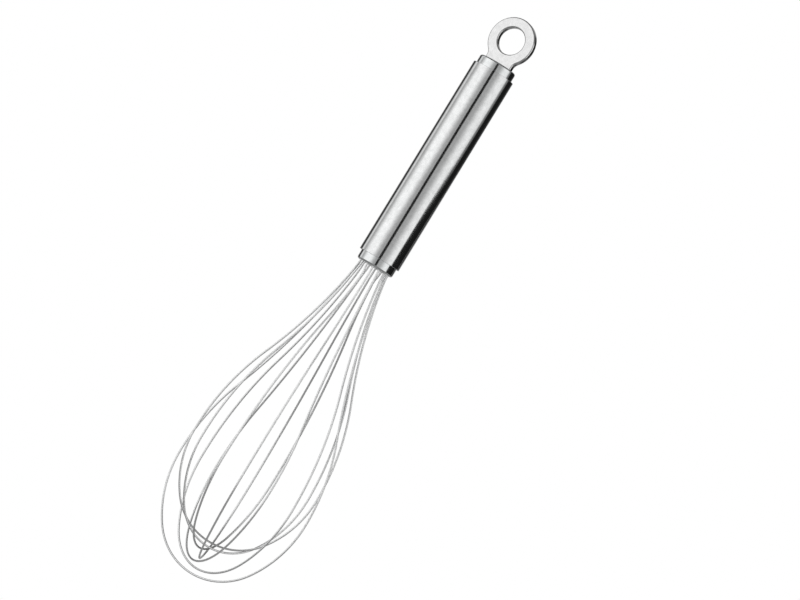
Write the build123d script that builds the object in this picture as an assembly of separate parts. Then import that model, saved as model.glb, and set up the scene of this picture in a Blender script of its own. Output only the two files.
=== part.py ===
"""Stainless steel balloon whisk, 270 mm long, made of separate pieces.

Seven sprung wire loops nest inside each other and cross at the tip. Their fourteen legs run
up through a drilled cap, a bed of sealing compound and a spacer disc inside a tubular handle.
A second cap closes the other end of the tube and carries the flat hanging ring, whose tang
goes through a slot and is held behind the cap by a cross pin.

Frame: millimetres, +Z up, the whisk hangs along Z. The origin is the centre of the hole in
the hanging ring, and that hole runs along Y, square to the flat plate.
"""
import os
from math import cos, radians, sin, sqrt

from build123d import *

# Handle tube
tube_diameter = 19.0
tube_wall = 1.0
tube_length = 92.0
tube_edge_bevel = 0.25

# End caps, cups that sit in the two ends of the tube with their end walls outwards
cap_projection = 4.0
cap_length = 12.0
cap_end_wall = 3.0
cap_skirt_wall = 1.0
cap_edge_bevel = 0.8
cap_fit_clearance = 0.05

# Hanging ring, a flat plate with a neck that stands on the cap and a tang below it
ring_diameter = 21.0
ring_hole_diameter = 12.0
ring_plate_thickness = 3.0
ring_edge_bevel = 0.4
ring_hole_height = 11.1
neck_width = 13.0
neck_fillet_radius = 4.0
tang_width = 9.0
tang_length = 8.0
slot_clearance = 0.1

# Cross pin through the tang, behind the end wall of the ring's cap
pin_diameter = 2.0
pin_length = 8.0
pin_clearance = 0.05

# Wire seat inside the lower cap: a bed of sealing compound with a spacer disc on it. The disc
# and the compound behind the ring's cap each end a little short of the skirt's end.
spacer_recess = 1.5
ring_sealant_recess = 2.0
spacer_thickness = 1.5
filling_clearance = 0.05
wire_end_projection = 0.8

# Wire and its holes, one hole for each leg on one circle close inside the skirt of the cap.
# The round wire is drawn as a bar of five flat sides, and so are its holes.
wire_diameter = 1.0
wire_side_count = 5
wire_hole_clearance = 0.05
hole_to_skirt_wall = 0.3

# The largest loop: how far its tip lies below the cap, and half its greatest width
first_loop_drop = 148.7
first_loop_half_width = 33.3

# Each loop's drop and half width, as shares of the largest loop's. The loops are bent by hand,
# so their widths don't fall by equal steps.
loop_drop_shares = (1.0, 0.981, 0.965, 0.952, 0.927, 0.9125, 0.899)
loop_width_shares = (1.0, 0.94, 0.99, 0.89, 0.845, 0.888, 0.888)

# Where a leg has finished its bend out of the hole and the long flare begins: how far below
# the cap, and how far outside the circle of holes
flare_start_drop = 6.0
flare_start_outset = 0.6

# Directions of the wire, in degrees away from the whisk's axis
flare_start_angle = 9.5
steepest_angle = 22.8
tip_arc_angle = 37.0

# The widest place of a loop, as a share of its drop
widest_share = 0.72

# Loop planes, in degrees about the axis from the plate of the hanging ring. The holes are
# evenly spaced. The bent loops are set by hand, so each plane stands a little off its own
# pair of holes, each loop leans a little within its plane, and it tilts a little out of it.
first_plane_angle = 6.0
loop_plane_offsets = (-5.3, -1.0, 2.0, 0.8, 7.1, -4.1, -6.8)
loop_leans = (1.1, 1.2, 1.2, -0.2, 0.8, -0.2, -0.4)
loop_tilts = (-1.2, -0.1, -1.0, 0.4, -0.2, 1.2, 0.2)

# How far a cutting tool runs past the faces that it cuts through
cut_overrun = 1.0

# Levels along Z, and sizes that follow from the ones above
ring_cap_face = -ring_hole_height
tube_top = ring_cap_face - cap_projection
tube_bottom = tube_top - tube_length
wire_cap_face = tube_bottom - cap_projection
tube_bore_radius = tube_diameter / 2 - tube_wall
cap_radius = tube_bore_radius - cap_fit_clearance
cap_bore_radius = cap_radius - cap_skirt_wall
wire_cap_floor = wire_cap_face + cap_end_wall
ring_cap_floor = ring_cap_face - cap_end_wall
sealant_depth = cap_length - cap_end_wall - spacer_thickness - spacer_recess
ring_sealant_depth = cap_length - cap_end_wall - ring_sealant_recess
spacer_level = wire_cap_floor + sealant_depth
wire_end_level = spacer_level + spacer_thickness + wire_end_projection
wire_hole_radius = wire_diameter / 2 + wire_hole_clearance
hole_circle_radius = cap_bore_radius - hole_to_skirt_wall - wire_hole_radius
flare_start_half_width = hole_circle_radius + flare_start_outset
pin_hole_radius = pin_diameter / 2 + pin_clearance
pin_level = ring_cap_floor - pin_hole_radius
loop_count = len(loop_plane_offsets)
half_turn = 180.0
plane_step = -half_turn / loop_count
axis_down = Vector(0, 0, -1)


def disc(radius, low, high):
    """A round bar on the whisk's axis between two levels."""
    return Pos(0, 0, low) * Cylinder(radius, high - low, align=(Align.CENTER, Align.CENTER, Align.MIN))


def slab(width, thickness, low, high):
    """A flat bar on the axis between two levels, its width along X."""
    return Pos(0, 0, low) * Box(width, thickness, high - low, align=(Align.CENTER, Align.CENTER, Align.MIN))


def outermost_edge(shape, level):
    """The largest circle of a turned piece at one level."""
    circles = shape.edges().filter_by(GeomType.CIRCLE)
    return min(circles, key=lambda edge: (round(abs(edge.center().Z - level), 3), -edge.radius))


def make_handle_tube():
    """The round tube of the handle, its outer end edges just broken."""
    tube = disc(tube_diameter / 2, tube_bottom, tube_top)
    rims = [outermost_edge(tube, tube_bottom), outermost_edge(tube, tube_top)]
    tube = chamfer(rims, min(tube_edge_bevel, tube_wall / 2))
    return tube - disc(tube_bore_radius, tube_bottom - cut_overrun, tube_top + cut_overrun)


def make_cap(face, direction):
    """A cup whose closed end is at the level face. Direction is 1 where the cup opens upwards."""
    inner_end = face + direction * cap_length
    floor = face + direction * cap_end_wall
    body = disc(cap_radius, min(face, inner_end), max(face, inner_end))
    body = chamfer(outermost_edge(body, face), min(cap_edge_bevel, cap_end_wall / 2))
    bore_end = inner_end + direction * cut_overrun
    return body - disc(cap_bore_radius, min(floor, bore_end), max(floor, bore_end))


def hole_angle(index):
    """Direction of the first hole of a loop's pair, in degrees from X."""
    return first_plane_angle + index * plane_step


def cut_wire_holes(body, low, high):
    """Cut the ring of holes that the wire legs pass through."""
    section = RegularPolygon(wire_hole_radius, wire_side_count, major_radius=False)
    tool = extrude(Pos(hole_circle_radius, 0, low - cut_overrun) * section, high - low + 2 * cut_overrun)
    for index in range(2 * loop_count):
        body -= Rot(0, 0, hole_angle(index)) * tool
    return body


def make_wire_end_cap():
    """The lower cap, drilled once for each leg of the loops."""
    return cut_wire_holes(make_cap(wire_cap_face, 1), wire_cap_face, wire_cap_floor)


def make_wire_end_sealant():
    """The bed of compound that seals the legs where they come through the cap."""
    bed = disc(cap_bore_radius - filling_clearance, wire_cap_floor, spacer_level)
    return cut_wire_holes(bed, wire_cap_floor, spacer_level)


def make_wire_spacer_disc():
    """The drilled disc that keeps the ends of the legs parallel."""
    top = spacer_level + spacer_thickness
    return cut_wire_holes(disc(cap_bore_radius - filling_clearance, spacer_level, top), spacer_level, top)


def make_ring_end_cap():
    """The upper cap, with the slot for the tang of the hanging ring."""
    slot_width = tang_width + 2 * slot_clearance
    slot_depth = ring_plate_thickness + 2 * slot_clearance
    slot = slab(slot_width, slot_depth, ring_cap_floor - cut_overrun, ring_cap_face + cut_overrun)
    return make_cap(ring_cap_face, -1) - slot


def make_pin_bar(radius, length):
    """A round bar along Y at the level of the cross pin."""
    return Pos(0, 0, pin_level) * Rot(90, 0, 0) * Cylinder(radius, length)


def make_ring_end_sealant():
    """The compound behind the upper cap, cast round the tang and its pin."""
    bed = disc(cap_bore_radius - filling_clearance, ring_cap_floor - ring_sealant_depth, ring_cap_floor)
    tang_room = slab(
        tang_width + 2 * slot_clearance,
        ring_plate_thickness + 2 * slot_clearance,
        ring_cap_face - tang_length - slot_clearance,
        ring_cap_floor + cut_overrun,
    )
    pin_room = make_pin_bar(pin_hole_radius, pin_length + 2 * pin_clearance)
    pin_relief = slab(
        2 * pin_hole_radius, pin_length + 2 * pin_clearance, pin_level, ring_cap_floor + cut_overrun
    )
    return bed - tang_room - pin_room - pin_relief


def ring_outline():
    """Outline of the ring and its neck in the XZ plane, with a hollow fillet on each side."""
    ring_radius = ring_diameter / 2
    half_neck = neck_width / 2
    centre_x = half_neck + neck_fillet_radius
    centre_z = -sqrt((ring_radius + neck_fillet_radius) ** 2 - centre_x**2)
    reach = ring_radius / (ring_radius + neck_fillet_radius)
    on_ring = Vector(centre_x * reach, 0, centre_z * reach)
    on_neck = Vector(half_neck, 0, centre_z)
    to_ring = (on_ring - Vector(centre_x, 0, centre_z)).normalized()
    to_neck = Vector(-1, 0, 0)
    between = Vector(centre_x, 0, centre_z) + (to_ring + to_neck).normalized() * neck_fillet_radius
    foot = Vector(half_neck, 0, ring_cap_face)

    def other_side(point):
        return Vector(-point.X, 0, point.Z)

    edges = [
        Line(other_side(foot), foot),
        Line(foot, on_neck),
        ThreePointArc(on_neck, between, on_ring),
        ThreePointArc(on_ring, Vector(0, 0, ring_radius), other_side(on_ring)),
        ThreePointArc(other_side(on_ring), other_side(between), other_side(on_neck)),
        Line(other_side(on_neck), other_side(foot)),
    ]
    return make_face(edges)


def make_hanging_ring():
    """The flat ring with its neck, hole and tang, its edges bevelled above the cap."""
    plate = extrude(ring_outline(), ring_plate_thickness / 2, dir=(0, 1, 0), both=True)
    hole = Rot(90, 0, 0) * Cylinder(ring_hole_diameter / 2, ring_plate_thickness + 2 * cut_overrun)
    plate -= hole
    rims = [
        edge
        for face in (plate.faces().sort_by(Axis.Y)[0], plate.faces().sort_by(Axis.Y)[-1])
        for edge in face.edges()
        if edge.center().Z > ring_cap_face
    ]
    plate = chamfer(rims, min(ring_edge_bevel, ring_plate_thickness / 3))
    tang = slab(tang_width, ring_plate_thickness, ring_cap_face - tang_length, ring_cap_face)
    return plate + tang - make_pin_bar(pin_hole_radius, ring_plate_thickness + 2 * cut_overrun)


def make_tang_pin():
    """The cross pin that keeps the tang from being drawn out of the cap."""
    return make_pin_bar(pin_diameter / 2, pin_length)


class LegOutline:
    """Half of one loop in its own plane, as tangent arcs.

    Drop is measured down from the cap's face and half width out from the loop's middle line.
    The flare bends outwards, the shoulder brings the wire parallel to the axis at the widest
    place, and the belly and the tip arc close the loop.
    """

    def __init__(self, index):
        self.drop = first_loop_drop * loop_drop_shares[index]
        self.half_width = first_loop_half_width * loop_width_shares[index]
        self.widest_drop = widest_share * self.drop
        start = radians(flare_start_angle)
        steep = radians(steepest_angle)
        close = radians(tip_arc_angle)
        rise = self.half_width - flare_start_half_width
        run = self.widest_drop - flare_start_drop
        flare_out = cos(start) - cos(steep)
        flare_down = sin(steep) - sin(start)
        shoulder_out = 1 - cos(steep)
        both = flare_out * sin(steep) - shoulder_out * flare_down
        self.flare_radius = (rise * sin(steep) - run * shoulder_out) / both
        self.shoulder_radius = (flare_out * run - flare_down * rise) / both
        depth = self.drop - self.widest_drop
        belly_in = 1 - cos(close)
        tip_down = 1 - sin(close)
        both = belly_in * tip_down - sin(close) * cos(close)
        self.belly_radius = (self.half_width * tip_down - depth * cos(close)) / both
        self.tip_radius = (depth * belly_in - self.half_width * sin(close)) / both

    def flare_point(self, angle):
        """Point of the flare where the wire runs at this angle to the axis."""
        start = radians(flare_start_angle)
        out = flare_start_half_width + self.flare_radius * (cos(start) - cos(radians(angle)))
        return flare_start_drop + self.flare_radius * (sin(radians(angle)) - sin(start)), out

    def shoulder_point(self, angle):
        """Point of the shoulder where the wire runs at this angle to the axis."""
        out = self.half_width - self.shoulder_radius * (1 - cos(radians(angle)))
        return self.widest_drop - self.shoulder_radius * sin(radians(angle)), out

    def belly_point(self, angle):
        """Point of the belly where the wire has turned in by this angle."""
        out = self.half_width - self.belly_radius * (1 - cos(radians(angle)))
        return self.widest_drop + self.belly_radius * sin(radians(angle)), out

    def arcs(self):
        """The flare, shoulder and belly, each as its first, middle and last point."""
        middle = (flare_start_angle + steepest_angle) / 2
        return [
            [self.flare_point(a) for a in (flare_start_angle, middle, steepest_angle)],
            [self.shoulder_point(a) for a in (steepest_angle, steepest_angle / 2, 0)],
            [self.belly_point(a) for a in (0, tip_arc_angle / 2, tip_arc_angle)],
        ]


class LoopPlace:
    """Carries points of a loop's plane to the whisk's frame."""

    def __init__(self, index):
        plane_angle = radians(hole_angle(index) + loop_plane_offsets[index])
        tilt = radians(loop_tilts[index])
        square_to_plane = Vector(-sin(plane_angle), cos(plane_angle), 0)
        self.out = Vector(cos(plane_angle), sin(plane_angle), 0)
        self.down = axis_down * cos(tilt) + square_to_plane * sin(tilt)
        self.lean = radians(loop_leans[index])
        hole = radians(hole_angle(index))
        self.hole = Vector(cos(hole), sin(hole), 0) * hole_circle_radius

    def direction(self, side, down, out):
        """A direction in the loop's plane, turned by the loop's lean."""
        across = side * out * cos(self.lean) + down * sin(self.lean)
        along = down * cos(self.lean) - side * out * sin(self.lean)
        return self.out * across + self.down * along

    def point(self, side, drop, half_width):
        """A point in the loop's plane, measured from the middle of the cap's face."""
        return Vector(0, 0, wire_cap_face) + self.direction(side, drop, half_width)

    def at_hole(self, side, level):
        """The middle of this leg's hole at a level."""
        return self.hole * side + Vector(0, 0, level)


def exit_bend(start, start_direction, end, end_direction):
    """Two tangent arcs that carry a leg from its hole to the start of its flare."""
    chord = end - start
    total = start_direction + end_direction
    spread = 2 * (1 - start_direction.dot(end_direction))
    along = chord.dot(total)
    reach = (sqrt(along**2 + spread * chord.dot(chord)) - along) / spread
    first_corner = start + start_direction * reach
    second_corner = end - end_direction * reach
    middle = (first_corner + second_corner) / 2
    return [
        TangentArc(start, middle, tangent=start_direction),
        TangentArc(middle, end, tangent=second_corner - first_corner),
    ]


def leg_edges(place, outline, side):
    """One leg from its end inside the handle down to the start of the tip arc."""
    face_point = place.at_hole(side, wire_cap_face)
    flare_start = place.point(side, flare_start_drop, flare_start_half_width)
    angle = radians(flare_start_angle)
    flare_direction = place.direction(side, cos(angle), sin(angle))
    edges = [Line(place.at_hole(side, wire_end_level), face_point)]
    edges += exit_bend(face_point, axis_down, flare_start, flare_direction)
    for arc in outline.arcs():
        edges.append(ThreePointArc(*[place.point(side, drop, out) for drop, out in arc]))
    return edges


def make_wire_loop(index):
    """One closed-in loop of wire with both of its legs."""
    place = LoopPlace(index)
    outline = LegOutline(index)
    tip_start, tip_end = [place.point(side, *outline.belly_point(tip_arc_angle)) for side in (1, -1)]
    tip = ThreePointArc(tip_start, place.point(1, outline.drop, 0), tip_end)
    path = Wire(leg_edges(place, outline, 1) + [tip] + leg_edges(place, outline, -1))
    leg_end = Plane(place.at_hole(1, wire_end_level), z_dir=axis_down)
    section = leg_end * RegularPolygon(wire_diameter / 2, wire_side_count)
    wire = sweep(section, path=path)
    expected = section.area * path.length
    print(f"loop {index + 1}: wire {path.length:.1f} mm, volume share {wire.volume / expected:.4f}")
    print(f"  radii {outline.flare_radius:.1f} {outline.shoulder_radius:.1f}"
          f" {outline.belly_radius:.1f} {outline.tip_radius:.1f}")
    return wire


def main():
    """Build every piece and write it to its own file."""
    pieces = {
        "handle_tube": make_handle_tube(),
        "wire_end_cap": make_wire_end_cap(),
        "wire_end_sealant": make_wire_end_sealant(),
        "wire_spacer_disc": make_wire_spacer_disc(),
        "ring_end_cap": make_ring_end_cap(),
        "ring_end_sealant": make_ring_end_sealant(),
        "hanging_ring": make_hanging_ring(),
        "tang_pin": make_tang_pin(),
    }
    for index in range(loop_count):
        pieces[f"wire_loop_{index + 1}"] = make_wire_loop(index)
    os.makedirs("parts", exist_ok=True)
    for name, shape in pieces.items():
        export_step(shape, f"parts/{name}.step")


main()
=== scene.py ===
"""Dresses the balloon whisk: round sprung wires, a satin steel handle and a light tent.

Lengths are in metres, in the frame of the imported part. The origin is the centre of the hanging
hole, +Z runs up the handle, and the hole runs along Y, square to the flat plate of the ring.
"""

import logging
from collections.abc import Callable, Iterable
from dataclasses import dataclass, field
from enum import Enum
from math import acos, ceil, cos, pi, radians, sin, sqrt
from typing import Any

import bmesh
import bpy
from mathutils import Matrix, Quaternion, Vector


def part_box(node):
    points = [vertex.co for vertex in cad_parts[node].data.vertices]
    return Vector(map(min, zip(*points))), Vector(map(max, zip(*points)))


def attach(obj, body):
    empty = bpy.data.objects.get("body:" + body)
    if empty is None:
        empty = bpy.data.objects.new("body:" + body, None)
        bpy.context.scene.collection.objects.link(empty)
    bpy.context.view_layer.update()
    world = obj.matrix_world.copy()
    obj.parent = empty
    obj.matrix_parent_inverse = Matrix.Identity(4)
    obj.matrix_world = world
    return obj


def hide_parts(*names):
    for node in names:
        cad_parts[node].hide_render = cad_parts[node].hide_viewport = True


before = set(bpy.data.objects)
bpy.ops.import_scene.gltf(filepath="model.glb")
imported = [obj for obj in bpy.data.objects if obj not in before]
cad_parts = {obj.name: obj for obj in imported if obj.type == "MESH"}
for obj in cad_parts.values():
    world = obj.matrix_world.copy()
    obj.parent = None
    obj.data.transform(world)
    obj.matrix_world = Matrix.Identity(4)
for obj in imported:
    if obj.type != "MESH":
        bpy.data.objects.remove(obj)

log = logging.getLogger("whisk")

MM = 0.001
BODY = "root"
DOWN = Vector((0, 0, -1))
WHITE = "FFFFFF"
HALF_CIRCLE = 180.0
END_FACE_COSINE = 0.9
SMOOTH_ANGLE = radians(35)
FULL_WEIGHT = 100


class Part(Enum):
    """What an edit works on."""

    VERTEX = "VERT"
    EDGE = "EDGE"
    FACE = "FACE"


class Grain(Enum):
    """Which way the marks of the last working step run on a metal surface."""

    ROUND = "round the handle"
    TURNED = "round the handle and in rings on its end faces"
    TUMBLED = "every way"


def linear(hex_colour: str) -> tuple[float, float, float, float]:
    """Turn an sRGB hex colour to linear light.

    Args:
        hex_colour: Six hex digits.

    Returns:
        Red, green and blue in linear light, and an alpha of one.
    """
    knee, slope, offset, power = 0.04045, 12.92, 0.055, 2.4
    channels = [int(hex_colour[i:i + 2], 16) / 255 for i in (0, 2, 4)]
    flat = [c / slope if c <= knee else ((c + offset) / (1 + offset)) ** power for c in channels]
    return (*flat, 1.0)


def add_node(tree: bpy.types.NodeTree, kind: str, settings: dict[str, Any] | None = None,
             links: dict[str | int, bpy.types.NodeSocket] | None = None) -> bpy.types.Node:
    """Add a node to a tree.

    Args:
        tree: The tree that gets the node.
        kind: Blender's name for the type of node.
        settings: Values for the node's own options, or for its input sockets.
        links: For each linked input, by name or number, the socket that feeds it.

    Returns:
        The new node.
    """
    made = tree.nodes.new(kind)
    for name, value in (settings or {}).items():
        if hasattr(made, name):
            setattr(made, name, value)
        else:
            made.inputs[name].default_value = value
    for name, socket in (links or {}).items():
        tree.links.new(socket, made.inputs[name])
    return made


def new_tree(name: str) -> tuple[bpy.types.Material, bpy.types.NodeTree]:
    """Start a material with an empty node tree.

    Args:
        name: The material's name.

    Returns:
        The material and its tree.
    """
    material = bpy.data.materials.new(name)
    material.use_nodes = True
    material.node_tree.nodes.clear()
    return material, material.node_tree


@dataclass(frozen=True)
class SteelFinish:
    """Stainless steel, 18/10 grade, with the marks of how its surface was made.

    Its colour is a neutral light grey. Marks that run one way blur a reflection across them and
    leave it sharp along them, which is what makes a satin tube show crisp long stripes.
    """

    name: str
    colour: str
    dull_colour: str
    roughness: float
    roughness_spread: float
    grain: Grain
    mark_width: float
    mark_length: float
    mark_depth: float
    mark_detail: float = 2.0
    mark_roughness: float = 0.6
    cloud_size: float = 2 * MM
    cloud_detail: float = 3.0
    dull_share: float = 0.3
    bright_share: float = 0.7

    def make(self) -> bpy.types.Material:
        """Build the material.

        Returns:
            The material.
        """
        material, tree = new_tree(self.name)
        marks = add_node(tree, "ShaderNodeTexNoise",
                         {"Scale": 1.0, "Detail": self.mark_detail,
                          "Roughness": self.mark_roughness},
                         {"Vector": self.mark_space(tree)})
        cloud_space = add_node(tree, "ShaderNodeTexCoord").outputs["Object"]
        # The steel's own grain is some 0.02 mm wide. It is drawn from 2 mm clouds down to 0.25 mm
        # specks, because finer ones don't show.
        clouds = add_node(tree, "ShaderNodeTexNoise",
                          {"Scale": 1 / self.cloud_size, "Detail": self.cloud_detail,
                           "Roughness": 1.0},
                          {"Vector": cloud_space})
        tint = add_node(tree, "ShaderNodeValToRGB", links={"Fac": clouds.outputs["Fac"]})
        dull, bright = tint.color_ramp.elements
        dull.color, bright.color = linear(self.dull_colour), linear(self.colour)
        dull.position, bright.position = self.dull_share, self.bright_share
        gloss = add_node(tree, "ShaderNodeMapRange",
                         {"To Min": self.roughness - self.roughness_spread,
                          "To Max": self.roughness + self.roughness_spread},
                         {"Value": marks.outputs["Fac"]})
        relief = add_node(tree, "ShaderNodeBump", {"Strength": 1.0, "Distance": self.mark_depth},
                          {"Height": marks.outputs["Fac"]})
        shader = add_node(tree, "ShaderNodeBsdfPrincipled", {"Metallic": 1.0},
                          {"Base Color": tint.outputs["Color"],
                           "Roughness": gloss.outputs["Result"],
                           "Normal": relief.outputs["Normal"]})
        add_node(tree, "ShaderNodeOutputMaterial", links={"Surface": shader.outputs["BSDF"]})
        return material

    def mark_space(self, tree: bpy.types.NodeTree) -> bpy.types.NodeSocket:
        """Build the coordinates that the marks are drawn in, one unit to a mark.

        Args:
            tree: The material's tree.

        Returns:
            The socket with the coordinates.
        """
        place = add_node(tree, "ShaderNodeTexCoord").outputs["Object"]
        along, across = 1 / self.mark_length, 1 / self.mark_width
        if self.grain is Grain.TUMBLED:
            return add_node(tree, "ShaderNodeMapping", {"Scale": (across, across, across)},
                            {"Vector": place}).outputs["Vector"]
        if self.grain is Grain.ROUND:
            return add_node(tree, "ShaderNodeMapping", {"Scale": (along, along, across)},
                            {"Vector": place}).outputs["Vector"]
        flat = add_node(tree, "ShaderNodeMapping", {"Scale": (1.0, 1.0, 0.0)}, {"Vector": place})
        reach = add_node(tree, "ShaderNodeVectorMath", {"operation": "LENGTH"},
                         {"Vector": flat.outputs["Vector"]})
        split = add_node(tree, "ShaderNodeSeparateXYZ", links={"Vector": place})
        rings = add_node(tree, "ShaderNodeCombineXYZ",
                         links={"X": reach.outputs["Value"], "Y": split.outputs["Z"]})
        return add_node(tree, "ShaderNodeMapping", {"Scale": (across, across, along)},
                        {"Vector": rings.outputs["Vector"]}).outputs["Vector"]


@dataclass(frozen=True)
class CompoundFinish:
    """Filled casting resin, set in place: a dull off-white body with a faintly uneven skin."""

    name: str = "cast_resin"
    colour: str = "D9D5C8"
    filler_colour: str = "C4BFB0"
    roughness: float = 0.55
    ior: float = 1.5
    filler_size: float = 0.6 * MM
    filler_detail: float = 4.0
    skin_depth: float = 0.03 * MM

    def make(self) -> bpy.types.Material:
        """Build the material.

        Returns:
            The material.
        """
        material, tree = new_tree(self.name)
        place = add_node(tree, "ShaderNodeTexCoord").outputs["Object"]
        filler = add_node(tree, "ShaderNodeTexNoise",
                          {"Scale": 1 / self.filler_size, "Detail": self.filler_detail},
                          {"Vector": place})
        ramp = add_node(tree, "ShaderNodeValToRGB", links={"Fac": filler.outputs["Fac"]})
        low, high = ramp.color_ramp.elements
        low.color, high.color = linear(self.filler_colour), linear(self.colour)
        skin = add_node(tree, "ShaderNodeBump", {"Strength": 1.0, "Distance": self.skin_depth},
                        {"Height": filler.outputs["Fac"]})
        shader = add_node(tree, "ShaderNodeBsdfPrincipled",
                          {"Roughness": self.roughness, "IOR": self.ior},
                          {"Base Color": ramp.outputs["Color"], "Normal": skin.outputs["Normal"]})
        add_node(tree, "ShaderNodeOutputMaterial", links={"Surface": shader.outputs["BSDF"]})
        return material


SATIN_TUBE = SteelFinish(
    "satin_brushed_stainless", colour="E3E4E4", dull_colour="CBCCCC",
    roughness=0.1, roughness_spread=0.03, grain=Grain.ROUND,
    mark_width=0.15 * MM, mark_length=12 * MM, mark_depth=0.004 * MM)
TURNED_CAP = SteelFinish(
    "turned_stainless", colour="E2E4E4", dull_colour="CED0D0",
    roughness=0.11, roughness_spread=0.03, grain=Grain.TURNED,
    mark_width=0.18 * MM, mark_length=12 * MM, mark_depth=0.004 * MM)
TUMBLED_RING = SteelFinish(
    "tumbled_stainless_plate", colour="DCDCDC", dull_colour="C8C8C8",
    roughness=0.15, roughness_spread=0.03, grain=Grain.TUMBLED,
    mark_width=0.35 * MM, mark_length=0.35 * MM, mark_depth=0.002 * MM)
SPRING_WIRE = SteelFinish(
    "bright_drawn_spring_wire", colour="F4F4F4", dull_colour="ECEDED",
    roughness=0.28, roughness_spread=0.03, grain=Grain.TUMBLED,
    mark_width=0.3 * MM, mark_length=0.3 * MM, mark_depth=0.002 * MM)
INNER_STEEL = SteelFinish(
    "plain_stamped_stainless", colour="C9CBCB", dull_colour="BDBFBF",
    roughness=0.4, roughness_spread=0.06, grain=Grain.TUMBLED,
    mark_width=0.5 * MM, mark_length=0.5 * MM, mark_depth=0.004 * MM)
CAST_RESIN = CompoundFinish()


def deselect_all() -> None:
    """Leave object mode's selection empty."""
    bpy.ops.object.select_all(action="DESELECT")


def begin_edit(piece: bpy.types.Object, part: Part) -> None:
    """Open one piece in edit mode with nothing in it selected.

    Args:
        piece: The piece to edit.
        part: What the selection is made of.
    """
    deselect_all()
    piece.select_set(True)
    bpy.context.view_layer.objects.active = piece
    bpy.ops.object.mode_set(mode="EDIT")
    bpy.ops.mesh.select_mode(type=part.value)
    bpy.ops.mesh.select_all(action="DESELECT")


def end_edit() -> None:
    """Go back to object mode."""
    bpy.ops.object.mode_set(mode="OBJECT")


def pick(piece: bpy.types.Object, part: Part, wanted: Callable[[Any], bool]) -> None:
    """Select parts of the mesh in edit mode.

    Args:
        piece: The piece that is being edited.
        part: The kind of element to look through.
        wanted: Says whether an element is selected.
    """
    bpy.ops.mesh.select_mode(type=part.value)
    bpy.ops.mesh.select_all(action="DESELECT")
    mesh = bmesh.from_edit_mesh(piece.data)
    pools = {Part.VERTEX: mesh.verts, Part.EDGE: mesh.edges, Part.FACE: mesh.faces}
    for item in pools[part]:
        if wanted(item):
            item.select_set(True)
    bmesh.update_edit_mesh(piece.data)


def on_ring(radius: float, level: float) -> Callable[[bmesh.types.BMEdge], bool]:
    """Make a test for the edges of a circle about the whisk's axis.

    Args:
        radius: The circle's radius.
        level: Its height.

    Returns:
        The test.
    """
    slack = 0.02 * MM

    def wanted(edge: bmesh.types.BMEdge) -> bool:
        """Say whether both ends of an edge lie on the circle."""
        return all(abs(end.co.z - level) < slack and abs(end.co.xy.length - radius) < slack
                   for end in edge.verts)

    return wanted


def apply_transform() -> None:
    """Work the selected object's place, turn and scale into its mesh."""
    bpy.ops.object.transform_apply(location=True, rotation=True, scale=True)


def apply_modifiers(piece: bpy.types.Object) -> None:
    """Apply every modifier of a piece in order.

    Args:
        piece: The piece.
    """
    bpy.context.view_layer.objects.active = piece
    for modifier in list(piece.modifiers):
        bpy.ops.object.modifier_apply(modifier=modifier.name)


def seat(piece: bpy.types.Object, name: str, finish: SteelFinish, slot: str,
         *nodes: str) -> bpy.types.Object:
    """Name and dress a finished piece and put it in the place of its CAD nodes.

    Args:
        piece: The finished mesh object.
        name: Its name.
        finish: Its finish.
        slot: Not used.
        nodes: The CAD nodes that it stands for.

    Returns:
        The piece.
    """
    piece.name = name
    piece.data.name = name
    deselect_all()
    piece.select_set(True)
    bpy.context.view_layer.objects.active = piece
    apply_transform()
    bpy.ops.object.shade_smooth_by_angle(angle=SMOOTH_ANGLE)
    # Large faces keep their own direction, so that a narrow bevel doesn't bend a reflection
    # beside it.
    weights = piece.modifiers.new("weights", "WEIGHTED_NORMAL")
    weights.keep_sharp = True
    weights.weight = FULL_WEIGHT
    apply_modifiers(piece)
    piece.data.materials.clear()
    piece.data.materials.append(finish_material(finish))
    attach(piece, BODY)
    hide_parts(*nodes)
    log.info("%s: %d faces", name, len(piece.data.polygons))
    return piece


def finish_material(finish: SteelFinish | CompoundFinish) -> bpy.types.Material:
    """Give the material of a finish, built once.

    Args:
        finish: The finish.

    Returns:
        Its material.
    """
    return bpy.data.materials.get(finish.name) or finish.make()


@dataclass
class Handle:
    """The round satin tube of the handle."""

    bore_wall: float = 1.0 * MM
    rim_radius: float = 0.1 * MM
    side_count: int = 192
    rim_steps: int = 3

    def build(self) -> bpy.types.Object:
        """Model the tube from a cylinder.

        Returns:
            The finished tube.
        """
        low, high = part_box("handle_tube")
        radius = (high.x - low.x) / 2
        deselect_all()
        bpy.ops.mesh.primitive_cylinder_add(vertices=self.side_count, radius=radius,
                                            depth=high.z - low.z,
                                            location=(0, 0, (low.z + high.z) / 2))
        tube = bpy.context.object
        apply_transform()
        begin_edit(tube, Part.FACE)
        pick(tube, Part.FACE, lambda face: abs(face.normal.z) > END_FACE_COSINE)
        bpy.ops.mesh.inset(thickness=self.bore_wall)
        bpy.ops.mesh.delete(type="ONLY_FACE")
        bore = radius - self.bore_wall
        at_bottom, at_top = on_ring(bore, low.z), on_ring(bore, high.z)
        pick(tube, Part.EDGE, lambda edge: at_bottom(edge) or at_top(edge))
        bpy.ops.mesh.bridge_edge_loops()
        rims = [on_ring(r, z) for r in (radius, bore) for z in (low.z, high.z)]
        pick(tube, Part.EDGE, lambda edge: any(rim(edge) for rim in rims))
        bpy.ops.mesh.bevel(offset=self.rim_radius, segments=self.rim_steps)
        end_edit()
        return seat(tube, "satin_tube", SATIN_TUBE, "brushed_tube", "handle_tube")


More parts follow.
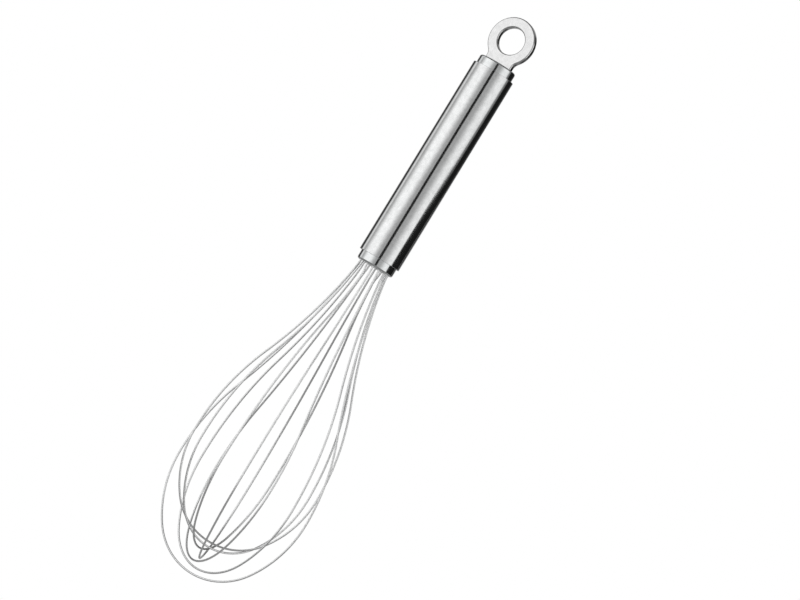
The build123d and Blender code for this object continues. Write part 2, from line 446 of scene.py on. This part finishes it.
@dataclass
class EndCap:
    """A turned cup in one end of the tube, with its end wall outwards.

    What cuts its end wall is as long as a number of such walls.
    """

    name: str
    node: str
    opens_up: bool
    end_wall: float = 3.0 * MM
    skirt_wall: float = 1.0 * MM
    rim_radius: float = 0.9 * MM
    side_count: int = 192
    rim_steps: int = 5
    cutter_walls: int = 4

    def cup(self) -> bpy.types.Object:
        """Model the cup from a cylinder.

        Returns:
            The cup, not yet drilled or slotted.
        """
        low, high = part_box(self.node)
        radius = (high.x - low.x) / 2
        face, inner_end = (low.z, high.z) if self.opens_up else (high.z, low.z)
        way = 1 if self.opens_up else -1
        deselect_all()
        bpy.ops.mesh.primitive_cylinder_add(vertices=self.side_count, radius=radius,
                                            depth=high.z - low.z,
                                            location=(0, 0, (low.z + high.z) / 2))
        cap = bpy.context.object
        apply_transform()
        begin_edit(cap, Part.FACE)
        pick(cap, Part.FACE, lambda item: item.normal.z * way > END_FACE_COSINE)
        bpy.ops.mesh.inset(thickness=self.skirt_wall)
        bpy.ops.mesh.extrude_region_move(
            TRANSFORM_OT_translate={"value": (0, 0, way * (self.end_wall - (high.z - low.z)))})
        pick(cap, Part.EDGE, on_ring(radius, face))
        bpy.ops.mesh.bevel(offset=self.rim_radius, segments=self.rim_steps)
        pick(cap, Part.EDGE, on_ring(radius, inner_end))
        bpy.ops.mesh.bevel(offset=self.rim_radius / self.rim_steps, segments=1)
        end_edit()
        return cap

    def cut(self, cap: bpy.types.Object, cutter: bpy.types.Object) -> None:
        """Cut a shape out of the cap.

        Args:
            cap: The cap.
            cutter: The shape, which is removed afterwards.
        """
        knife = cap.modifiers.new("cut", "BOOLEAN")
        knife.operation = "DIFFERENCE"
        knife.solver = "EXACT"
        knife.object = cutter
        apply_modifiers(cap)
        bpy.data.objects.remove(cutter)


@dataclass
class Balloon:
    """The plan that all wire loops share.

    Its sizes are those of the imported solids, save for the wire's own thickness. The five rows
    with a value for each loop were fitted to where the wires run in the photograph.
    """

    wire_radius: float = 0.42 * MM
    hole_radius: float = 0.55 * MM
    hole_circle_radius: float = 6.6 * MM
    loop_count: int = 7
    first_drop: float = 148.7 * MM
    first_half_width: float = 33.3 * MM
    drop_shares: tuple[float, ...] = (1.0, 0.981, 0.965, 0.952, 0.927, 0.9125, 0.899)
    width_shares: tuple[float, ...] = (1.0, 0.94, 0.99, 0.89, 0.845, 0.888, 0.888)
    flare_start_drop: float = 6.0 * MM
    flare_start_outset: float = 0.6 * MM
    flare_start_angle: float = radians(9.5)
    steepest_angle: float = radians(22.8)
    tip_arc_angle: float = radians(37.0)
    widest_share: float = 0.72
    first_plane_angle: float = radians(6.0)
    plane_offsets: tuple[float, ...] = (-5.3, -1.0, 2.0, 0.8, 7.1, -4.1, -6.8)
    leans: tuple[float, ...] = (1.1, 1.2, 1.2, -0.2, 0.8, -0.2, -0.4)
    tilts: tuple[float, ...] = (-1.2, -0.1, -1.0, 0.4, -0.2, 1.2, 0.2)
    face: float = field(init=False)
    leg_end: float = field(init=False)

    def __post_init__(self) -> None:
        """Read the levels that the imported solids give."""
        self.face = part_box("wire_end_cap")[0].z
        self.leg_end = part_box("wire_loop_1")[1].z

    def hole_angle(self, index: int) -> float:
        """Give the direction of the first hole of a loop's pair, from X."""
        return self.first_plane_angle - index * pi / self.loop_count


@dataclass
class WireLoop:
    """One loop of round spring wire with both of its legs."""

    plan: Balloon
    index: int
    side_count: int = 16
    sag: float = 0.008 * MM
    straight_angle: float = radians(0.01)
    drop: float = field(init=False)
    half_width: float = field(init=False)
    out: Vector = field(init=False)
    down: Vector = field(init=False)
    lean: float = field(init=False)
    hole: Vector = field(init=False)

    def __post_init__(self) -> None:
        """Work out the loop's own sizes and where its plane stands."""
        plan, index = self.plan, self.index
        self.drop = plan.first_drop * plan.drop_shares[index]
        self.half_width = plan.first_half_width * plan.width_shares[index]
        turned = plan.hole_angle(index) + radians(plan.plane_offsets[index])
        tilt = radians(plan.tilts[index])
        self.out = Vector((cos(turned), sin(turned), 0))
        self.down = DOWN * cos(tilt) + Vector((-sin(turned), cos(turned), 0)) * sin(tilt)
        self.lean = radians(plan.leans[index])
        hole = plan.hole_angle(index)
        self.hole = Vector((cos(hole), sin(hole), 0)) * plan.hole_circle_radius

    def direction(self, side: int, down: float, out: float) -> Vector:
        """Turn a direction of the loop's plane, down and out, to the whisk's frame."""
        across = side * out * cos(self.lean) + down * sin(self.lean)
        along = down * cos(self.lean) - side * out * sin(self.lean)
        return self.out * across + self.down * along

    def point(self, side: int, drop: float, half_width: float) -> Vector:
        """Carry a point of the loop's plane to the whisk's frame."""
        return Vector((0, 0, self.plan.face)) + self.direction(side, drop, half_width)

    def leg_bends(self, side: int) -> list[Vector]:
        """Give the points where one leg's arcs meet, from its hole down to the tip arc.

        Args:
            side: 1 or -1, for the two legs.

        Returns:
            The start of the flare, its end, the widest place and the start of the tip arc.
        """
        plan = self.plan
        start, steep, close = plan.flare_start_angle, plan.steepest_angle, plan.tip_arc_angle
        begin = plan.hole_circle_radius + plan.flare_start_outset
        widest = plan.widest_share * self.drop
        rise, run = self.half_width - begin, widest - plan.flare_start_drop
        flare_out, flare_down = cos(start) - cos(steep), sin(steep) - sin(start)
        shoulder_out = 1 - cos(steep)
        both = flare_out * sin(steep) - shoulder_out * flare_down
        flare = (rise * sin(steep) - run * shoulder_out) / both
        depth = self.drop - widest
        belly_in, tip_down = 1 - cos(close), 1 - sin(close)
        both = belly_in * tip_down - sin(close) * cos(close)
        belly = (self.half_width * tip_down - depth * cos(close)) / both
        return [
            self.point(side, plan.flare_start_drop, begin),
            self.point(side, plan.flare_start_drop + flare * flare_down,
                       begin + flare * flare_out),
            self.point(side, widest, self.half_width),
            self.point(side, widest + belly * sin(close), self.half_width - belly * belly_in),
        ]

    def exit_middle(self, side: int) -> Vector:
        """Find where the two arcs meet that carry a leg from its hole to its flare."""
        start = self.hole * side + Vector((0, 0, self.plan.face))
        end = self.leg_bends(side)[0]
        angle = self.plan.flare_start_angle
        end_way = self.direction(side, cos(angle), sin(angle))
        chord, total = end - start, DOWN + end_way
        spread = 2 * (1 - DOWN.dot(end_way))
        along = chord.dot(total)
        reach = (sqrt(along**2 + spread * chord.dot(chord)) - along) / spread
        return (start + DOWN * reach + end - end_way * reach) / 2

    def stations(self) -> list[Vector]:
        """List every point where one stretch of the wire ends and the next begins."""
        legs = []
        for side in (1, -1):
            hole = self.hole * side
            top = hole + Vector((0, 0, self.plan.leg_end))
            mouth = hole + Vector((0, 0, self.plan.face))
            legs.append([top, mouth, self.exit_middle(side), *self.leg_bends(side)])
        return legs[0] + legs[1][::-1]

    def build(self) -> bpy.types.Object:
        """Draw a circle at one leg's end and lead it round the loop, stretch by stretch.

        Returns:
            The finished loop.
        """
        points = self.stations()
        deselect_all()
        bpy.ops.mesh.primitive_circle_add(vertices=self.side_count, radius=self.plan.wire_radius,
                                          location=points[0])
        loop = bpy.context.object
        apply_transform()
        begin_edit(loop, Part.EDGE)
        bpy.ops.mesh.select_all(action="SELECT")
        heading = DOWN.copy()
        for start, end in zip(points, points[1:]):
            chord = end - start
            half_turn = heading.angle(chord)
            if half_turn < self.straight_angle:
                bpy.ops.mesh.extrude_region_move(TRANSFORM_OT_translate={"value": chord})
                continue
            axis = heading.cross(chord).normalized()
            radius = chord.length / (2 * sin(half_turn))
            centre = start + axis.cross(heading) * radius
            steps = ceil(half_turn / acos(1 - self.sag / radius))
            # Spin turns clockwise about its axis, so the angle is negative.
            bpy.ops.mesh.spin(steps=steps, angle=-2 * half_turn, center=centre, axis=axis)
            heading = Quaternion(axis, 2 * half_turn) @ heading
        bpy.ops.mesh.select_all(action="SELECT")
        bpy.ops.mesh.fill_holes(sides=0)
        bpy.ops.mesh.select_all(action="SELECT")
        bpy.ops.mesh.normals_make_consistent(inside=False)
        end_edit()
        return seat(loop, f"round_wire_{self.index + 1}", SPRING_WIRE, "spring_wire",
                    f"wire_loop_{self.index + 1}")


@dataclass
class WireEndCap(EndCap):
    """The lower cap, drilled once for each leg."""

    name: str = "drilled_cap"
    node: str = "wire_end_cap"
    opens_up: bool = True
    hole_side_count: int = 24

    def build(self, plan: Balloon) -> bpy.types.Object:
        """Model the cap and drill it.

        Args:
            plan: The plan of the loops, which says where the holes are.

        Returns:
            The finished cap.
        """
        cap = self.cup()
        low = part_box(self.node)[0]
        drills = []
        for index in range(2 * plan.loop_count):
            angle = plan.hole_angle(index)
            place = Vector((cos(angle), sin(angle), 0)) * plan.hole_circle_radius
            place.z = low.z
            deselect_all()
            bpy.ops.mesh.primitive_cylinder_add(vertices=self.hole_side_count,
                                                radius=plan.hole_radius,
                                                depth=self.cutter_walls * self.end_wall,
                                                location=place)
            drills.append(bpy.context.object)
        deselect_all()
        for drill in drills:
            drill.select_set(True)
        bpy.context.view_layer.objects.active = drills[0]
        bpy.ops.object.join()
        self.cut(cap, drills[0])
        return seat(cap, self.name, TURNED_CAP, "turned_caps", self.node)


@dataclass
class RingEndCap(EndCap):
    """The upper cap, slotted for the tang of the ring."""

    name: str = "slotted_cap"
    node: str = "ring_end_cap"
    opens_up: bool = False
    tang_width: float = 9.0 * MM
    slot_gap: float = 0.1 * MM

    def build(self) -> bpy.types.Object:
        """Model the cap and cut its slot.

        Returns:
            The finished cap.
        """
        cap = self.cup()
        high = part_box(self.node)[1]
        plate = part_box("hanging_ring")
        deselect_all()
        bpy.ops.mesh.primitive_cube_add(size=1.0, location=(0, 0, high.z))
        slot = bpy.context.object
        slot.scale = (self.tang_width + 2 * self.slot_gap,
                      plate[1].y - plate[0].y + 2 * self.slot_gap,
                      self.cutter_walls * self.end_wall)
        apply_transform()
        self.cut(cap, slot)
        return seat(cap, self.name, TURNED_CAP, "turned_caps", self.node)


@dataclass
class HangingRing:
    """The flat ring with its neck, its cut edges tumbled round."""

    node: str = "hanging_ring"
    edge_radius: float = 0.22 * MM
    edge_steps: int = 3
    edge_angle: float = radians(30)
    merge_distance: float = 0.001 * MM
    flat_angle: float = radians(0.5)

    def build(self) -> bpy.types.Object:
        """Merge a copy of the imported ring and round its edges.

        Returns:
            The finished ring.
        """
        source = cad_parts[self.node]
        ring = source.copy()
        ring.data = source.data.copy()
        ring.parent = None
        for key in list(ring.keys()):
            del ring[key]
        bpy.context.scene.collection.objects.link(ring)
        begin_edit(ring, Part.VERTEX)
        bpy.ops.mesh.select_all(action="SELECT")
        bpy.ops.mesh.remove_doubles(threshold=self.merge_distance)
        bpy.ops.mesh.customdata_custom_splitnormals_clear()
        bpy.ops.mesh.dissolve_limited(angle_limit=self.flat_angle)
        end_edit()
        rounding = ring.modifiers.new("tumbled_edges", "BEVEL")
        rounding.width = self.edge_radius
        rounding.segments = self.edge_steps
        rounding.limit_method = "ANGLE"
        rounding.angle_limit = self.edge_angle
        apply_modifiers(ring)
        return seat(ring, "flat_ring", TUMBLED_RING, "polished_ring", self.node)


@dataclass
class InnerPieces:
    """The pieces inside the closed handle, which stay as they were packed."""

    steel_nodes: tuple[str, ...] = ("tang_pin", "wire_spacer_disc")
    resin_nodes: tuple[str, ...] = ("wire_end_sealant", "ring_end_sealant")

    def build(self) -> None:
        """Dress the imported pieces."""
        for names, finish in ((self.steel_nodes, INNER_STEEL), (self.resin_nodes, CAST_RESIN)):
            for name in names:
                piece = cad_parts[name]
                piece.data.materials.clear()
                piece.data.materials.append(finish_material(finish))
                log.info("%s keeps its packed shape", name)


@dataclass
class PhotoView:
    """The camera, where the photographer's stood."""

    azimuth: float = radians(24.0)
    elevation: float = radians(-2.0)
    roll: float = radians(31.4)
    distance: float = 2.0
    pixels_per_metre: float = 2389.0
    image_width: int = 800
    image_height: int = 600
    cap_pixel: tuple[float, float] = (374.2, 267.7)
    sensor: float = 36.0
    clip_end: float = 100.0

    def build(self) -> bpy.types.Object:
        """Place the camera so that the lower cap's end falls on its pixel.

        Returns:
            The camera.
        """
        back = Vector((sin(self.azimuth) * cos(self.elevation),
                       -cos(self.azimuth) * cos(self.elevation),
                       sin(self.elevation)))
        level = Vector((cos(self.azimuth), sin(self.azimuth), 0))
        rise = back.cross(level)
        right = level * cos(self.roll) + rise * sin(self.roll)
        up = rise * cos(self.roll) - level * sin(self.roll)
        across = (self.image_width / 2 - self.cap_pixel[0]) / self.pixels_per_metre
        below = (self.image_height / 2 - self.cap_pixel[1]) / self.pixels_per_metre
        middle = Vector((0, 0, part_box("wire_end_cap")[0].z)) + right * across - up * below
        camera = bpy.data.objects.new("camera", bpy.data.cameras.new("camera"))
        bpy.context.scene.collection.objects.link(camera)
        camera.matrix_world = Matrix.Translation(middle + back * self.distance) @ Matrix(
            (right, up, back)).transposed().to_4x4()
        camera.data.sensor_width = self.sensor
        camera.data.lens = self.pixels_per_metre * self.distance * self.sensor / self.image_width
        camera.data.clip_end = self.clip_end
        bpy.context.scene.camera = camera
        return camera


@dataclass(frozen=True)
class Stripe:
    """An upright panel, board or gap in the wall of the light tent, which the steel mirrors.

    Its middle is in degrees, seen from the whisk and counted from the camera towards what the
    picture shows on the right. Its half width is in degrees too, and so is half the breadth of its
    soft edge. The level is its light, where the white background's is one. Further up the tent its
    middle has moved round by the set-over.
    """

    name: str
    middle: float
    half_width: float
    softness: float
    level: float
    set_over: float = 0.0

    def add_cover(self, tree: bpy.types.NodeTree, turn: bpy.types.NodeSocket,
                  rise: bpy.types.NodeSocket) -> bpy.types.NodeSocket:
        """Work out how much of the tent's wall the stripe covers at a place.

        Args:
            tree: The tent cloth's tree.
            turn: The socket with the place's direction.
            rise: The socket that goes from zero low on the tent to one further up.

        Returns:
            The socket with the share that is covered.
        """
        middle = add_node(tree, "ShaderNodeMapRange",
                          {"To Min": self.middle, "To Max": self.middle + self.set_over},
                          {"Value": rise})
        offset = add_node(tree, "ShaderNodeMath", {"operation": "SUBTRACT"},
                          {0: turn, 1: middle.outputs["Result"]})
        # Ping-pong at half a circle gives the shorter way round to the middle.
        away = add_node(tree, "ShaderNodeMath", {"operation": "PINGPONG"},
                        {0: offset.outputs["Value"]})
        away.inputs[1].default_value = HALF_CIRCLE
        cover = add_node(tree, "ShaderNodeMapRange",
                         {"interpolation_type": "SMOOTHSTEP",
                          "From Min": self.half_width + self.softness,
                          "From Max": self.half_width - self.softness},
                         {"Value": away.outputs["Value"]})
        return cover.outputs["Result"]


@dataclass
class Studio:
    """A round light tent with the stripes that the steel mirrors, a pale floor, a white world.

    Levels of light are given where the white background's is one. Between the low and the high
    rise, two heights in the whisk's frame, the stripes go over to their upper places.
    """

    view: PhotoView
    tent_radius: float = 1.1
    tent_top: float = 0.7
    floor_level: float = -0.45
    floor_radius: float = 1.0
    floor_colour: str = "F2F1EF"
    floor_roughness: float = 0.8
    speckle_size: float = 2 * MM
    speckle_detail: float = 2.0
    speckle_strength: float = 0.3
    speckle_depth: float = 0.05 * MM
    fill_level: float = 0.6
    ceiling_level: float = 0.8
    ceiling_card_level: float = 0.2
    floor_card_level: float = 0.28
    card_gap: float = 0.01
    side_count: int = 96
    rise_low: float = -0.02
    rise_high: float = 0.02
    cloth_level: float = 0.48
    stripes: tuple[Stripe, ...] = (
        Stripe("left_panel", middle=-61, half_width=28, softness=18, level=1.28),
        Stripe("left_edge_panel", middle=-117, half_width=7, softness=6, level=0.9),
        Stripe("left_flag", middle=-141, half_width=14, softness=4, level=0.045, set_over=-3),
        Stripe("right_panel", middle=62, half_width=26, softness=20, level=1.12),
        Stripe("shade_by_the_flag", middle=85, half_width=11, softness=4, level=0.25, set_over=12),
        Stripe("right_flag", middle=104, half_width=30, softness=4, level=0.012, set_over=24),
        Stripe("rim_card", middle=144, half_width=9, softness=3, level=0.04),
        Stripe("back_panel", middle=181, half_width=23, softness=4, level=0.4),
        Stripe("lens_gap", middle=-1.2, half_width=6.5, softness=0.3, level=0.018, set_over=-0.8),
    )

    def build(self) -> None:
        """Set up the stage."""
        self.set_world()
        self.add_tent()
        self.add_disc("ceiling", self.ceiling_level, self.tent_top)
        self.add_floor()
        for name, level, height in (
                ("ceiling_card", self.ceiling_card_level, self.tent_top - self.card_gap),
                ("floor_card", self.floor_card_level, self.floor_level + self.card_gap)):
            self.add_disc(name, level, height).visible_diffuse = False
        log.info("stage is set")

    def hide(self, piece: bpy.types.Object) -> None:
        """Keep a light or a card out of the picture itself."""
        piece.visible_camera = False
        piece.visible_shadow = False

    def set_world(self) -> None:
        """Make a world that is white to the camera and in reflections, and gives a dimmer fill."""
        world = bpy.data.worlds.new("white_world")
        bpy.context.scene.world = world
        world.use_nodes = True
        tree = world.node_tree
        tree.nodes.clear()
        path = add_node(tree, "ShaderNodeLightPath")
        seen = add_node(tree, "ShaderNodeMath", {"operation": "MAXIMUM"},
                        {0: path.outputs["Is Camera Ray"], 1: path.outputs["Is Glossy Ray"]})
        through = add_node(tree, "ShaderNodeMath", {"operation": "MAXIMUM"},
                           {0: seen.outputs["Value"], 1: path.outputs["Is Transmission Ray"]})
        fill = add_node(tree, "ShaderNodeBackground",
                        {"Color": linear(WHITE), "Strength": self.fill_level})
        white = add_node(tree, "ShaderNodeBackground", {"Color": linear(WHITE), "Strength": 1.0})
        mixed = add_node(tree, "ShaderNodeMixShader",
                         links={"Fac": through.outputs["Value"], 1: fill.outputs["Background"],
                                2: white.outputs["Background"]})
        add_node(tree, "ShaderNodeOutputWorld", links={"Surface": mixed.outputs["Shader"]})

    def add_tent(self) -> None:
        """Stand the round wall of the tent about the whisk, its cloth lit in upright stripes."""
        material, tree = new_tree("tent_cloth")
        place = add_node(tree, "ShaderNodeTexCoord").outputs["Object"]
        height = add_node(tree, "ShaderNodeSeparateXYZ", links={"Vector": place})
        middle = (self.tent_top + self.floor_level) / 2
        rise = add_node(tree, "ShaderNodeMapRange",
                        {"interpolation_type": "SMOOTHSTEP",
                         "From Min": self.rise_low - middle, "From Max": self.rise_high - middle},
                        {"Value": height.outputs["Z"]})
        share = add_node(tree, "ShaderNodeTexGradient", {"gradient_type": "RADIAL"},
                         {"Vector": place})
        turn = add_node(tree, "ShaderNodeMapRange", {"To Min": -HALF_CIRCLE, "To Max": HALF_CIRCLE},
                        {"Value": share.outputs["Fac"]})
        wall = None
        for stripe in self.stripes:
            cover = stripe.add_cover(tree, turn.outputs["Result"], rise.outputs["Result"])
            links = {"Factor": cover}
            if wall:
                links["A"] = wall.outputs["Result"]
            wall = add_node(tree, "ShaderNodeMix",
                            {"label": stripe.name, "A": self.cloth_level, "B": stripe.level},
                            links)
        cloth = add_node(tree, "ShaderNodeEmission", {"Color": linear(WHITE)},
                         {"Strength": wall.outputs["Result"]})
        add_node(tree, "ShaderNodeOutputMaterial", links={"Surface": cloth.outputs["Emission"]})
        deselect_all()
        bpy.ops.mesh.primitive_cylinder_add(
            vertices=self.side_count, radius=self.tent_radius,
            depth=self.tent_top - self.floor_level, end_fill_type="NOTHING",
            location=(0, 0, middle))
        tent = bpy.context.object
        tent.name = "tent"
        tent.rotation_euler.z = self.view.azimuth - pi / 2
        tent.data.materials.append(material)
        self.hide(tent)

    def add_disc(self, name: str, level: float, height: float) -> bpy.types.Object:
        """Spread a round lit cloth across the tent.

        Args:
            name: Its name.
            level: Its light, where the white background's is one.
            height: Its height.

        Returns:
            The cloth, hidden from the camera.
        """
        material, tree = new_tree(name + "_cloth")
        cloth = add_node(tree, "ShaderNodeEmission", {"Color": linear(WHITE), "Strength": level})
        add_node(tree, "ShaderNodeOutputMaterial", links={"Surface": cloth.outputs["Emission"]})
        deselect_all()
        bpy.ops.mesh.primitive_circle_add(vertices=self.side_count, radius=self.tent_radius,
                                          fill_type="NGON", location=(0, 0, height))
        disc = bpy.context.object
        disc.name = name
        disc.data.materials.append(material)
        self.hide(disc)
        return disc

    def add_floor(self) -> None:
        """Lay a round pale floor well under the hanging whisk."""
        material, tree = new_tree("pale_floor_paint")
        place = add_node(tree, "ShaderNodeTexCoord").outputs["Object"]
        speckle = add_node(tree, "ShaderNodeTexNoise",
                           {"Scale": 1 / self.speckle_size, "Detail": self.speckle_detail},
                           {"Vector": place})
        relief = add_node(tree, "ShaderNodeBump",
                          {"Strength": self.speckle_strength, "Distance": self.speckle_depth},
                          {"Height": speckle.outputs["Fac"]})
        paint = add_node(tree, "ShaderNodeBsdfPrincipled",
                         {"Base Color": linear(self.floor_colour),
                          "Roughness": self.floor_roughness},
                         {"Normal": relief.outputs["Normal"]})
        add_node(tree, "ShaderNodeOutputMaterial", links={"Surface": paint.outputs["BSDF"]})
        deselect_all()
        bpy.ops.mesh.primitive_circle_add(vertices=self.side_count, radius=self.floor_radius,
                                          fill_type="NGON", location=(0, 0, self.floor_level))
        floor = bpy.context.object
        floor.name = "floor"
        floor.data.materials.append(material)


def main() -> None:
    """Build every sub-assembly in order, then the camera and the studio."""
    logging.basicConfig(level=logging.INFO, format="%(name)s: %(message)s")
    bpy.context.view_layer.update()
    plan = Balloon()
    Handle().build()
    WireEndCap().build(plan)
    RingEndCap().build()
    HangingRing().build()
    for index in range(plan.loop_count):
        WireLoop(plan, index).build()
    InnerPieces().build()
    view = PhotoView()
    view.build()
    Studio(view).build()
    bpy.context.scene.view_settings.view_transform = "Standard"


if __name__ == "__main__":
    main()
